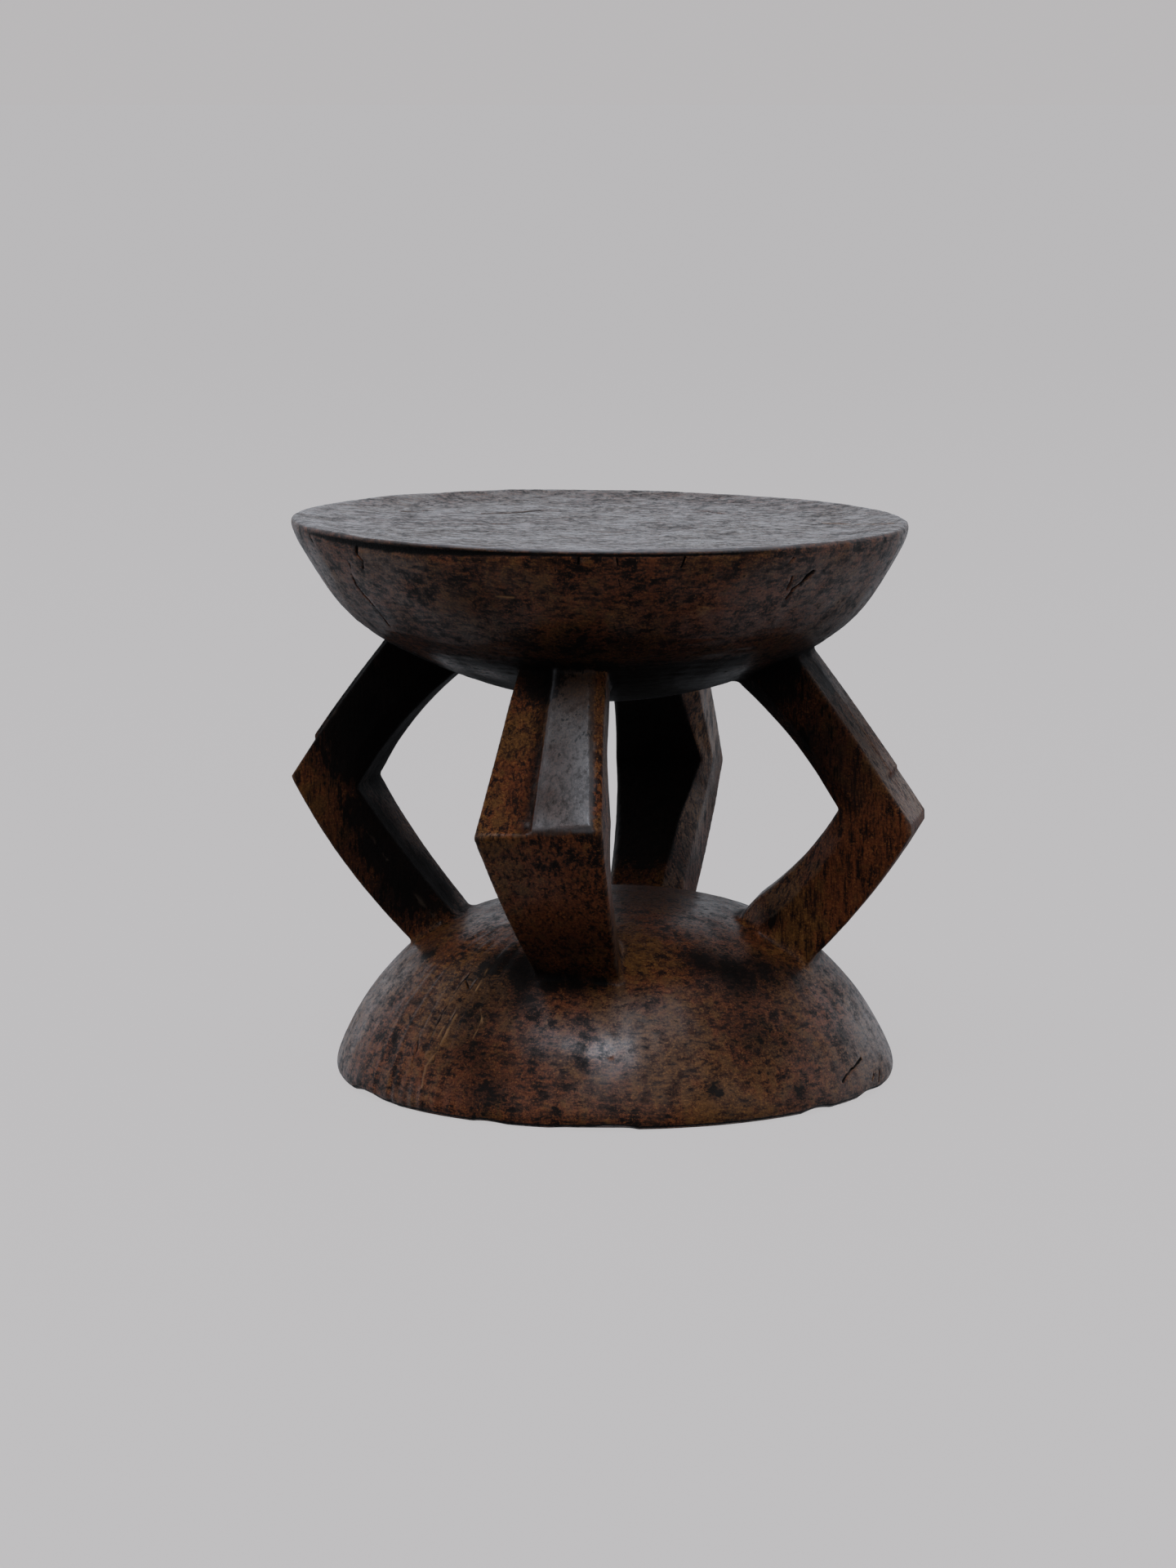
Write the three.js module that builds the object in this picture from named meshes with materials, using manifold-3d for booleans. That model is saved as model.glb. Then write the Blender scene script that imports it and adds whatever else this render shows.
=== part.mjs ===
// A stool carved from one block of dark wood: a shallow bowl-shaped seat on four bent legs that
// stand on a low dome. Millimetres, +Z up, origin at the middle of the flat underside.
import * as THREE from "three";
import { mergeVertices } from "three/addons/utils/BufferGeometryUtils.js";
import Module from "manifold-3d";

const wasm = await Module();
wasm.setup();

// The whole stool leans a little to its left. The seat and the base sit a little off the middle of
// the legs, and the seat drops a little to its right.
const LEAN_DEG = 1.5;
const SEAT_OFFSET = -0.4;
const SEAT_DROP_DEG = 0.55;
const BASE_OFFSET = 0.6;

// Seat: radius and height at the widest line, the lip over it, the dish in its top and the bowl
// below, whose section is a list of [radius, height] from the middle out to the widest line.
const SEAT_RADIUS = 183;
const SEAT_WIDEST_HEIGHT = 328;
const SEAT_TOP_HEIGHT = 333.8;
const SEAT_LIP_RADIUS = 180.5;
const SEAT_DISH_DEPTH = 6;
const BOWL_SECTION = [
  [0, 225],
  [25, 227],
  [48, 230.5],
  [72, 236.5],
  [97, 246],
  [119, 256],
  [137, 266],
  [149, 276],
  [158, 286],
  [165, 296],
  [171, 306],
  [177, 316],
];

// Base: the dome's section as [radius, height] from its rounded foot up to the middle.
const BASE_FLAT_RADIUS = 165;
const DOME_SECTION = [
  [167.6, 2],
  [168.5, 6],
  [167.2, 12],
  [164.2, 19],
  [159, 29],
  [153.4, 39],
  [146.7, 49],
  [138.3, 59],
  [128.8, 69],
  [118, 79],
  [102, 89],
  [75, 99.5],
  [38, 106],
  [0, 109],
];

const ROUND_STEPS = 72;

// Legs: azimuth in degrees from +X, then the corners of the bend as [radius, height] on the outer
// and the inner face, at the seat, the knee and the foot. Widths are across the outer face.
// A shift moves that place sideways, a slant raises one side of the knee over the other, and a
// blunt knee has a short upright flat. Faces swell or hollow midway between the knee and an end.
const LEGS = [
  {
    azimuth: -102.5,
    outer: { seat: [127, 256], knee: [187.5, 173.5], foot: [118, 79] },
    inner: { seat: [86, 240], knee: [145.5, 173], foot: [92, 106] },
    width: { seat: 53, knee: 74.5, foot: 51.5 },
    shift: { seat: 2.5, knee: 0.7, foot: 5 },
    swell: { seat: 1, foot: 3.5 },
    hollow: { seat: 4, foot: 3 },
    slant: 7,
    blunt: 1,
    ridgeEnd: 0.03,
  },
  {
    azimuth: -11.5,
    outer: { seat: [123.5, 254], knee: [188, 157], foot: [128, 78] },
    inner: { seat: [84, 239], knee: [143.5, 167], foot: [90, 109] },
    width: { seat: 58, knee: 65, foot: 56 },
    shift: { seat: 0, knee: 0, foot: 0 },
    swell: { seat: 0.8, foot: 3 },
    hollow: { seat: 3.6, foot: 3.6 },
    slant: 0,
    blunt: 6,
    ridgeEnd: 0.28,
  },
  {
    azimuth: 77,
    outer: { seat: [127, 256], knee: [187.5, 159], foot: [121, 80] },
    inner: { seat: [86, 240], knee: [145, 165], foot: [92, 107] },
    width: { seat: 57, knee: 65, foot: 53 },
    shift: { seat: -5, knee: -1.7, foot: -0.5 },
    swell: { seat: 1, foot: 3 },
    hollow: { seat: 4, foot: 3 },
    slant: -6,
    blunt: 3,
    ridgeEnd: 0.28,
  },
  {
    azimuth: 167.5,
    outer: { seat: [128, 259], knee: [188, 176.5], foot: [120, 80] },
    inner: { seat: [87, 241], knee: [148, 171], foot: [92.5, 94.5] },
    width: { seat: 58, knee: 65, foot: 56 },
    shift: { seat: 0, knee: 0, foot: 0 },
    swell: { seat: 1.2, foot: 4.7 },
    hollow: { seat: 4.5, foot: 2 },
    slant: 0,
    blunt: 2,
    ridgeEnd: 0.28,
  },
];

// Section across a leg: how far each side is drawn in at the inner face, and on the side with the
// cut-off corner, where that cut starts through the thickness and how far in it is there.
const PLAIN_SIDE_TAPER = 7;
const CUT_SIDE_TAPER = 3;
const CUT_SIDE_TOTAL = 9;
const CUT_START = 0.72;

// A flat-topped ridge runs down each upper limb beside the plain side, and the band on its other
// side is sunk, most beside the ridge. Edges are fractions of the half width.
const RIDGE_LEFT = { seat: -0.15, knee: -0.09 };
const RIDGE_RIGHT = { seat: 0.72, knee: 0.84 };
const RIDGE_SIDE = 0.04;
const RIDGE_HEIGHT = 2.6;
const BAND_DEPTH = 2.6;
const RIDGE_FADE = 0.03;

// How far the ends run on into the seat and the base, as a fraction of the limb.
const SEAT_SINK = 0.18;
const BASE_SINK = 0.28;

// A closed geometry as a solid that can be joined to others.
function solidOf(geometry) {
  geometry.deleteAttribute("normal");
  geometry.deleteAttribute("uv");
  const welded = mergeVertices(geometry, 1e-3);
  const corners = welded.index.array;
  const faces = [];
  for (let i = 0; i < corners.length; i += 3) {
    const [a, b, c] = corners.slice(i, i + 3);
    if (a !== b && b !== c && c !== a) faces.push(a, b, c);
  }
  const vertProperties = welded.getAttribute("position").array;
  const triVerts = new Uint32Array(faces);
  return new wasm.Manifold(new wasm.Mesh({ numProp: 3, vertProperties, triVerts }));
}

// The solid's faces as a three.js geometry with flat shading normals.
function geometryOf(solid) {
  const { vertProperties, triVerts } = solid.getMesh();
  const geometry = new THREE.BufferGeometry();
  geometry.setAttribute("position", new THREE.BufferAttribute(vertProperties, 3));
  geometry.setIndex(new THREE.BufferAttribute(triVerts, 1));
  geometry.computeVertexNormals();
  return geometry;
}

// A section of [radius, height] points turned about the Z axis.
function turned(section) {
  const points = section.map(([radius, height]) => new THREE.Vector2(radius, height));
  return new THREE.LatheGeometry(points, ROUND_STEPS).rotateX(Math.PI / 2);
}

function seat() {
  const lip = [
    [SEAT_RADIUS - 2, SEAT_WIDEST_HEIGHT - 4],
    [SEAT_RADIUS, SEAT_WIDEST_HEIGHT],
    [SEAT_RADIUS - 1.5, SEAT_TOP_HEIGHT - 2],
    [SEAT_LIP_RADIUS, SEAT_TOP_HEIGHT],
  ];
  const dish = [];
  for (const part of [0.94, 0.85, 0.7, 0.5, 0.25, 0]) {
    const drop = SEAT_DISH_DEPTH * (1 - part ** 3);
    dish.push([SEAT_LIP_RADIUS * part, SEAT_TOP_HEIGHT - drop]);
  }
  const bowl = turned([...BOWL_SECTION, ...lip, ...dish]);
  bowl.translate(0, 0, -SEAT_WIDEST_HEIGHT);
  bowl.rotateY(THREE.MathUtils.degToRad(SEAT_DROP_DEG));
  bowl.translate(SEAT_OFFSET, 0, SEAT_WIDEST_HEIGHT);
  return solidOf(bowl);
}

function base() {
  const dome = turned([[0, 0], [BASE_FLAT_RADIUS, 0], ...DOME_SECTION]);
  return solidOf(dome.translate(BASE_OFFSET, 0, 0));
}

// The stations of a leg from its foot up to the seat: on which limb, and how far along it from
// the knee, 0, to the end, 1, and on into the seat or the base.
function stations(shape) {
  const ridge = shape.ridgeEnd;
  const fade = ridge > RIDGE_FADE ? [ridge - RIDGE_FADE] : [];
  const lower = [1 + BASE_SINK, 1, 0.8, 0.6, 0.4, 0.2, 0];
  const upper = [0, ...fade, ridge, 0.45, 0.65, 0.85, 1, 1 + SEAT_SINK];
  return [
    ...lower.map((part) => ({ end: "foot", part })),
    ...upper.map((part) => ({ end: "seat", part })),
  ];
}

// The point of a face line at a station: straight from the knee to the end, and moved outwards
// from the straight by a swell that is greatest midway.
function faceLine(corners, { end, part }, swell, blunt) {
  const up = end === "seat" ? 1 : -1;
  const tip = new THREE.Vector2(...corners[end]);
  const knee = new THREE.Vector2(...corners.knee);
  knee.y += (up * blunt) / 2;
  const out = new THREE.Vector2(Math.abs(tip.y - knee.y), up * Math.abs(tip.x - knee.x));
  const bulge = Math.max(0, swell[end] * 4 * part * (1 - part));
  return knee.lerp(tip, part).addScaledVector(out.normalize(), bulge);
}

// A size given at the knee and at both ends, at a station.
function sizeAt(size, { end, part }) {
  return THREE.MathUtils.lerp(size.knee, size[end], Math.min(1, part));
}

// Columns across the outer face as fractions of the half width, with how far each stands out
// where the ridge is at full height. Below the knee the columns run straight on.
function faceColumns(station) {
  const place = { end: "seat", part: station.end === "seat" ? station.part : 0 };
  const left = sizeAt(RIDGE_LEFT, place);
  const right = sizeAt(RIDGE_RIGHT, place);
  return [
    { across: -1, relief: 0 },
    { across: left - RIDGE_SIDE, relief: -BAND_DEPTH },
    { across: left, relief: RIDGE_HEIGHT },
    { across: right, relief: RIDGE_HEIGHT },
    { across: right + RIDGE_SIDE, relief: 0 },
    { across: 1, relief: 0 },
  ];
}
const COLUMN_STEPS = 5;

// Depths through the leg from the outer face, 0, to the inner face, 1, with how far each side is
// drawn in there.
const DEPTHS = [
  { through: 0, plain: 0, cut: 0 },
  { through: CUT_START, plain: PLAIN_SIDE_TAPER * CUT_START, cut: CUT_SIDE_TAPER },
  { through: 1, plain: PLAIN_SIDE_TAPER, cut: CUT_SIDE_TOTAL },
];
const DEPTH_STEPS = DEPTHS.length - 1;

// A leg is a box, divided into columns, depths and stations, with every corner moved to its place.
function leg(shape) {
  const rows = stations(shape);
  const rowSteps = rows.length - 1;
  const box = new THREE.BoxGeometry(1, 1, 1, COLUMN_STEPS, DEPTH_STEPS, rowSteps);
  const azimuth = THREE.MathUtils.degToRad(shape.azimuth);
  const outward = new THREE.Vector3(Math.cos(azimuth), Math.sin(azimuth), 0);
  const sideways = new THREE.Vector3(-Math.sin(azimuth), Math.cos(azimuth), 0);
  const corner = new THREE.Vector3();
  const places = box.getAttribute("position");
  for (let i = 0; i < places.count; i += 1) {
    corner.fromBufferAttribute(places, i).addScalar(0.5);
    const station = rows[Math.round(corner.z * rowSteps)];
    const column = faceColumns(station)[Math.round(corner.x * COLUMN_STEPS)];
    const depth = DEPTHS[Math.round(corner.y * DEPTH_STEPS)];
    const outer = faceLine(shape.outer, station, shape.swell, shape.blunt);
    const inner = faceLine(shape.inner, station, shape.hollow, 0);
    const ridged = station.end === "seat" && station.part >= shape.ridgeEnd;
    if (ridged && depth.through === 0) {
      const rise = new THREE.Vector2().subVectors(outer, inner).normalize();
      outer.addScaledVector(rise, column.relief);
    }
    const place = outer.lerp(inner, depth.through);
    const drawnIn = column.across > 0 ? depth.plain : depth.cut;
    const across = column.across * (sizeAt(shape.width, station) / 2 - drawnIn);
    const slant = Math.max(0, 1 - station.part) * shape.slant * (column.across / 2);
    corner.copy(outward).multiplyScalar(place.x);
    corner.addScaledVector(sideways, across + sizeAt(shape.shift, station));
    places.setXYZ(i, corner.x, corner.y, place.y + slant);
  }
  return solidOf(box);
}

const lean = new THREE.Matrix4().set(
  1, 0, -Math.tan(THREE.MathUtils.degToRad(LEAN_DEG)), 0,
  0, 1, 0, 0,
  0, 0, 1, 0,
  0, 0, 0, 1,
);
const carved = [seat(), base(), ...LEGS.map(leg)].reduce((block, part) => block.add(part));
const wood = new THREE.MeshStandardMaterial({ color: 0x2a1a12, roughness: 0.5, metalness: 0 });
const stool = new THREE.Mesh(geometryOf(carved).applyMatrix4(lean), wood);
stool.name = "stool";

const group = new THREE.Group();
group.add(stool);
export default group;
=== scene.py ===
import math

import bpy
import numpy as np
from mathutils import Matrix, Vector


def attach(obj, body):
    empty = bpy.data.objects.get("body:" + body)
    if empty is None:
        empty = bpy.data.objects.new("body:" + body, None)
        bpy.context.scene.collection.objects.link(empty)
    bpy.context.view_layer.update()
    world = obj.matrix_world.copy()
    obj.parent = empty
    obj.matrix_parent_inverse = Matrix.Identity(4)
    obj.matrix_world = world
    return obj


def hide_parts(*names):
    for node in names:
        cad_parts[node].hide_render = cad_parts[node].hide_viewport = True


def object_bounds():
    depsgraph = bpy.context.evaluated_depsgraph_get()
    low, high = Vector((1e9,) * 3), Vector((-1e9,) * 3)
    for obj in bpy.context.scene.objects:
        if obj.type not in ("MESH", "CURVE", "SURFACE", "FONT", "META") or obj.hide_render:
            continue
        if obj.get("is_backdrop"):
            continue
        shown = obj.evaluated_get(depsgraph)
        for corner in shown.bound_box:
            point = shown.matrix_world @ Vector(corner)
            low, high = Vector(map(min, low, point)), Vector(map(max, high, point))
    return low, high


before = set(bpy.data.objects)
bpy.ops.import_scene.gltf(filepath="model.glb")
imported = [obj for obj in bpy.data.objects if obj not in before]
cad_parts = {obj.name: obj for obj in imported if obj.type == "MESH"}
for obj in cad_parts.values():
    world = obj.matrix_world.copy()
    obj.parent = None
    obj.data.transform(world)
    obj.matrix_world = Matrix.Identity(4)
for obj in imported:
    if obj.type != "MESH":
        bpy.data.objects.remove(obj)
cad_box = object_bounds()


# Camera. It looks at the middle of the stool from the front leg's side, through a long lens and
# nine degrees down, so the seat's top shows as a thin ellipse and the dome's top just shows.
CAMERA_PLACE = (-0.016, -2.6668, 0.5961)
CAMERA_DOWN_DEG = 9.0
CAMERA_LENS_MM = 103.3
CAMERA_SENSOR_MM = 36
CAMERA_FAR = 200

bpy.ops.object.camera_add(
    location=CAMERA_PLACE, rotation=(math.radians(90 - CAMERA_DOWN_DEG), 0, 0)
)
camera = bpy.context.object
camera.name = "camera"
camera.data.lens = CAMERA_LENS_MM
camera.data.sensor_width = CAMERA_SENSOR_MM
camera.data.clip_end = CAMERA_FAR
bpy.context.scene.camera = camera
bpy.context.scene.view_settings.view_transform = "Standard"


# Studio. A plain pale floor runs back until it meets a wall of the same grey, and the light comes
# soft from above, from the sides and a little from the front. Below and in front it stays dark,
# so that the bowl's underside and the legs' inner faces fall into shade.
class Wire:
    """A socket in a node tree. Arithmetic on it adds Math nodes to that tree."""

    def __init__(self, tree, socket=None):
        self.tree = tree
        self.socket = socket

    def node(self, kind, settings, values, output=0):
        """A node of that type: its settings come first, then its sockets' values or links."""
        made = self.tree.nodes.new("ShaderNode" + kind)
        for name, value in settings.items():
            setattr(made, name, value)
        for name, value in values.items():
            if isinstance(value, Wire):
                self.tree.links.new(value.socket, made.inputs[name])
            else:
                made.inputs[name].default_value = value
        return Wire(self.tree, made.outputs[output]) if made.outputs else made

    def math(self, operation, *values):
        return self.node("Math", {"operation": operation}, dict(enumerate(values)))

    def __add__(self, other):
        return self.math("ADD", self, other)

    def __radd__(self, other):
        return self.math("ADD", other, self)

    def __sub__(self, other):
        return self.math("SUBTRACT", self, other)

    def __rsub__(self, other):
        return self.math("SUBTRACT", other, self)

    def __mul__(self, other):
        return self.math("MULTIPLY", self, other)

    def __rmul__(self, other):
        return self.math("MULTIPLY", other, self)

    def __truediv__(self, other):
        return self.math("DIVIDE", self, other)

    def __pow__(self, other):
        return self.math("POWER", self, other)

    def ramp(self, low, high):
        """0 below low and 1 above high, with a smooth change between them."""
        return self.node(
            "MapRange",
            {"interpolation_type": "SMOOTHSTEP"},
            {"Value": self, "From Min": low, "From Max": high},
        )

    def blend(self, first, second):
        """The colour first where this is 0 and second where it is 1."""
        return self.node("Mix", {"data_type": "RGBA"}, {0: self, 6: first, 7: second}, 2)


WALL_GREY = (0.490, 0.480, 0.485, 1)
ROOM_TINT = (0.93, 0.99, 1.08, 1)
LIGHT_BELOW = 0.09
LIGHT_BELOW_BEHIND = 0.21
LIGHT_IN_FRONT = 0.175
LIGHT_OVERHEAD = 0.20
LIGHT_ON_WALL = 0.38

# How much a direction is above, behind, overhead or on the wall goes from 0 to 1, and the light
# that comes from there with it.
world = bpy.data.worlds.new("studio")
bpy.context.scene.world = world
world.use_nodes = True
world.node_tree.nodes.clear()
air = Wire(world.node_tree)
toward = air.node("TexCoord", {}, {}, "Generated")
toward_y = air.node("SeparateXYZ", {}, {0: toward}, 1)
toward_z = air.node("SeparateXYZ", {}, {0: toward}, 2)
above = toward_z.ramp(-0.45, 0.10)
behind = toward_y.ramp(-0.55, 0.25)
overhead = toward_z.ramp(0.10, 0.60)
on_wall = 1 - toward_z.ramp(0.20, 0.60)
below_light = LIGHT_BELOW + LIGHT_BELOW_BEHIND * behind
above_light = LIGHT_IN_FRONT + LIGHT_OVERHEAD * overhead + LIGHT_ON_WALL * behind * on_wall
strength = below_light + above * (above_light - below_light)
lit = air.node("Background", {}, {"Color": ROOM_TINT, "Strength": strength})
seen = air.node("Background", {}, {"Color": WALL_GREY, "Strength": 1.0})
is_camera = air.node("LightPath", {}, {}, "Is Camera Ray")
sky = air.node("MixShader", {}, {0: is_camera, 1: lit, 2: seen})
air.node("OutputWorld", {}, {"Surface": sky})

FLOOR_SIZE = 160
FLOOR_DROP = 0.0005
FLOOR_NEAR_GREY = (0.5300, 0.5194, 0.5247, 1)
FLOOR_FAR_GREY = (0.4900, 0.4802, 0.4851, 1)
FLOOR_GLOW = 0.96

bpy.ops.object.select_all(action="DESELECT")
bpy.ops.mesh.primitive_plane_add(size=FLOOR_SIZE, location=(0, 0, -FLOOR_DROP))
floor = bpy.context.object
floor.name = "floor"
floor.visible_diffuse = False
floor.visible_glossy = False
floor_grey = bpy.data.materials.new("floor grey")
floor_grey.use_nodes = True
floor_grey.node_tree.nodes.clear()
ground = Wire(floor_grey.node_tree)
ground_place = ground.node("TexCoord", {}, {}, "Object")
away = ground.node("SeparateXYZ", {}, {0: ground_place}, 1).ramp(-2.0, 8.0)
ground_colour = away.blend(FLOOR_NEAR_GREY, FLOOR_FAR_GREY)
ground_surface = ground.node(
    "BsdfPrincipled",
    {},
    {
        "Base Color": (0.03, 0.03, 0.03, 1),
        "Roughness": 1.0,
        "Specular IOR Level": 0.0,
        "Emission Color": ground_colour,
        "Emission Strength": FLOOR_GLOW,
    },
)
ground.node("OutputMaterial", {}, {"Surface": ground_surface})
floor.data.materials.append(floor_grey)
floor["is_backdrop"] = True

SOFTBOX_TINT = (0.89, 0.98, 1.10)
# Name, turn about each axis, angle across and power.
SOFTBOXES = [
    ("front softbox", (34, 0, -6), 12, 0.40),
    ("left softbox", (30, 0, -38), 24, 0.24),
    ("top softbox", (12, 0, -8), 50, 0.6),
]
for name, turn, spread, power in SOFTBOXES:
    bpy.ops.object.light_add(type="SUN", rotation=[math.radians(angle) for angle in turn])
    softbox = bpy.context.object
    softbox.name = name
    softbox.data.angle = math.radians(spread)
    softbox.data.energy = power
    softbox.data.color = SOFTBOX_TINT


# Stool. One block of dense dark wood, carved all in one: a bowl-shaped seat with a dished top, four
# bent legs and a dome below. It is roughed out, cut to its faces with an adze, scraped smooth, and
# then worn, cracked and blackened by long use.
BLOCK_LEAN_DEG = 1.5
MM = 0.001

# Sections, as radius and height in millimetres. The seat's runs from the middle of the bowl out
# over the lip to the middle of the dish, and the dome's from the middle of its flat underside over
# the top.
BOWL_SIDE = [
    (0, 225), (25, 227), (48, 230.5), (72, 236.5), (97, 246), (119, 256.1), (137, 266.1),
    (149.3, 276), (158.4, 286), (165.4, 296), (171.4, 306), (177.3, 316), (181.2, 323.5),
    (182.8, 328.0), (183.5, 331.0), (183.2, 333.2),
]
LIP_EDGE = (181.9, 334.3)
DISH = [
    (179.6, 334.3), (176, 333.8), (169, 332.6), (153, 330.4), (126, 329.8), (90, 328.7),
    (45, 328.0), (0, 327.9),
]
DOME_FOOT = [(0, 0), (60, 0), (120, 0), (158, 0), (165.6, 0), (168.0, 1.8)]
DOME_SIDE = [
    (168.7, 6), (167.3, 12), (164.3, 19), (159.2, 29), (153.6, 39), (146.9, 49), (138.5, 59),
    (129, 69), (118.2, 79), (102.2, 89), (75, 99.6), (38, 106.1), (0, 109),
]
SEAT_PLACE = -0.4
SEAT_DROP_DEG = 0.55
SEAT_DROP_HEIGHT = 328
DOME_PLACE = 0.6
ROUND_SIDES = 160
ROUND_LEVELS = 2
BLOCK_SLOPE = math.tan(math.radians(BLOCK_LEAN_DEG))
SEAT_SLOPE = math.tan(math.radians(SEAT_DROP_DEG))


def turned(name, section):
    """A solid with that section: a line drawn corner by corner, then spun about the Z axis."""
    bpy.ops.object.select_all(action="DESELECT")
    bpy.ops.mesh.primitive_plane_add(size=1, location=(0, 0, 0))
    solid = bpy.context.object
    solid.name = name
    bpy.ops.object.mode_set(mode="EDIT")
    bpy.ops.mesh.select_all(action="SELECT")
    bpy.ops.mesh.merge(type="CENTER")
    bpy.ops.transform.translate(value=(section[0][0] * MM, 0, section[0][1] * MM))
    for (radius, height), (next_radius, next_height) in zip(section, section[1:]):
        step = ((next_radius - radius) * MM, 0, (next_height - height) * MM)
        bpy.ops.mesh.extrude_region_move(TRANSFORM_OT_translate={"value": step})
    bpy.ops.mesh.select_all(action="SELECT")
    bpy.ops.mesh.spin(
        steps=ROUND_SIDES, angle=2 * math.pi, center=(0, 0, 0), axis=(0, 0, 1)
    )
    bpy.ops.mesh.select_all(action="SELECT")
    bpy.ops.mesh.remove_doubles(threshold=0.01 * MM)
    bpy.ops.mesh.normals_make_consistent(inside=False)
    bpy.ops.object.mode_set(mode="OBJECT")
    rounding = solid.modifiers.new("rounding", "SUBSURF")
    rounding.levels = ROUND_LEVELS
    rounding.render_levels = ROUND_LEVELS
    bpy.ops.object.modifier_apply(modifier=rounding.name)
    return solid


seat = turned("seat", [*BOWL_SIDE, LIP_EDGE, *DISH])
drop_height = Matrix.Translation((0, 0, SEAT_DROP_HEIGHT * MM))
drop = Matrix.Rotation(math.radians(SEAT_DROP_DEG), 4, "Y")
seat.data.transform(
    Matrix.Translation((SEAT_PLACE * MM, 0, 0)) @ drop_height @ drop @ drop_height.inverted()
)
dome = turned("dome", DOME_FOOT + DOME_SIDE)
dome.data.transform(Matrix.Translation((DOME_PLACE * MM, 0, 0)))

# Legs: azimuth in degrees from +X, then the bend's corners as radius and height on the outer and
# the inner face. Widths are across the outer face. A shift moves a place sideways, a slant raises
# one side of the knee, a blunt knee has a short upright flat, and faces swell or hollow midway. The
# band beside the ridge lies that far above or below the face, chamfers narrow the leg halfway
# through and at its inner face, and the ridge ends at that part of the way up from the knee.
LEGS = [
    {
        "azimuth": -102.5,
        "outer": {"seat": (127, 256), "knee": (187.5, 173.5), "foot": (118, 79)},
        "inner": {"seat": (86, 240), "knee": (145.5, 173), "foot": (92, 106)},
        "width": {"seat": 53, "knee": 74.5, "foot": 51.5},
        "shift": {"seat": 2.5, "knee": 0.7, "foot": 5},
        "swell": {"seat": 1, "foot": 3.5},
        "hollow": {"seat": 4, "foot": 3},
        "slant": 7,
        "blunt": 1,
        "band": -2.8,
        "chamfer": {"left": (4, 8), "right": (4, 8)},
        "ridge_end": 0.035,
    },
    {
        "azimuth": -11.5,
        "outer": {"seat": (123.5, 254), "knee": (188, 157), "foot": (128, 78)},
        "inner": {"seat": (84, 239), "knee": (143.5, 167), "foot": (90, 109)},
        "width": {"seat": 58, "knee": 65, "foot": 56},
        "shift": {"seat": 0, "knee": 0, "foot": 0},
        "swell": {"seat": 0.8, "foot": 3},
        "hollow": {"seat": 3.6, "foot": 3.6},
        "slant": 0,
        "blunt": 6,
        "band": 2.0,
        "chamfer": {"left": (1, 13), "right": (4, 8)},
        "ridge_end": 0.28,
    },
    {
        "azimuth": 77,
        "outer": {"seat": (127, 256), "knee": (187.5, 159), "foot": (121, 80)},
        "inner": {"seat": (86, 240), "knee": (145, 165), "foot": (92, 107)},
        "width": {"seat": 57, "knee": 65, "foot": 53},
        "shift": {"seat": -5, "knee": -1.7, "foot": -0.5},
        "swell": {"seat": 1, "foot": 3},
        "hollow": {"seat": 4, "foot": 3},
        "slant": -6,
        "blunt": 3,
        "band": 2.0,
        "chamfer": {"left": (2, 13), "right": (3, 7)},
        "ridge_end": 0.28,
    },
    {
        "azimuth": 167.5,
        "outer": {"seat": (128, 259), "knee": (188, 176.5), "foot": (120, 80)},
        "inner": {"seat": (87, 241), "knee": (148, 171), "foot": (92.5, 94.5)},
        "width": {"seat": 58, "knee": 65, "foot": 56},
        "shift": {"seat": 0, "knee": 0, "foot": 0},
        "swell": {"seat": 1.2, "foot": 4.7},
        "hollow": {"seat": 4.5, "foot": 2},
        "slant": 0,
        "blunt": 2,
        "band": 2.0,
        "chamfer": {"left": (4, 8), "right": (1, 8)},
        "ridge_end": 0.28,
    },
]
# Where the limbs are divided, as parts of the way from the knee, and where the ridge's sides run, as
# parts of half the outer face's width. A depth of 0 is the outer face and 1 the inner one. Three more
# rows lie at the knee, where the ridge begins and where it has risen.
LOWER_PARTS = [1.28, 1, 0.9, 0.8, 0.7, 0.6, 0.5, 0.4, 0.3, 0.2, 0.1, 0]
UPPER_PARTS = [0.38, 0.48, 0.58, 0.68, 0.78, 0.88, 1, 1.18]
RIDGE_FADE = 0.03
RIDGE_LEFT = {"seat": -0.15, "knee": -0.09}
RIDGE_RIGHT = {"seat": 0.72, "knee": 0.84}
RIDGE_SIDE = 0.03
RIDGE_HEIGHT = 2.6
DEPTHS = [0, 0.72, 1]
KNEE_CHAMFER = 0.45
COLUMN_STEPS = 5
DEPTH_STEPS = 2
LONG_EDGE_ROUND = 2.4
RIDGE_EDGE_ROUND = 0.9
RIDGE_ROWS = 3
ROW_STEPS = len(LOWER_PARTS) + RIDGE_ROWS + len(UPPER_PARTS) - 1


def size_at(size, end, part):
    """A size given at the knee and at the end, part of the way along."""
    return size["knee"] + (size[end] - size["knee"]) * min(1, part)


def face_line(corners, end, part, swell, blunt):
    """A point of a face's outline, straight from knee to end but for its swell."""
    up = 1 if end == "seat" else -1
    tip = np.array(corners[end], float)
    knee = np.array(corners["knee"], float) + (0, up * blunt / 2)
    out = np.array([abs(tip[1] - knee[1]), up * abs(tip[0] - knee[0])])
    bulge = max(0, swell[end] * 4 * part * (1 - part))
    return knee + (tip - knee) * part + out / np.linalg.norm(out) * bulge


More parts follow.
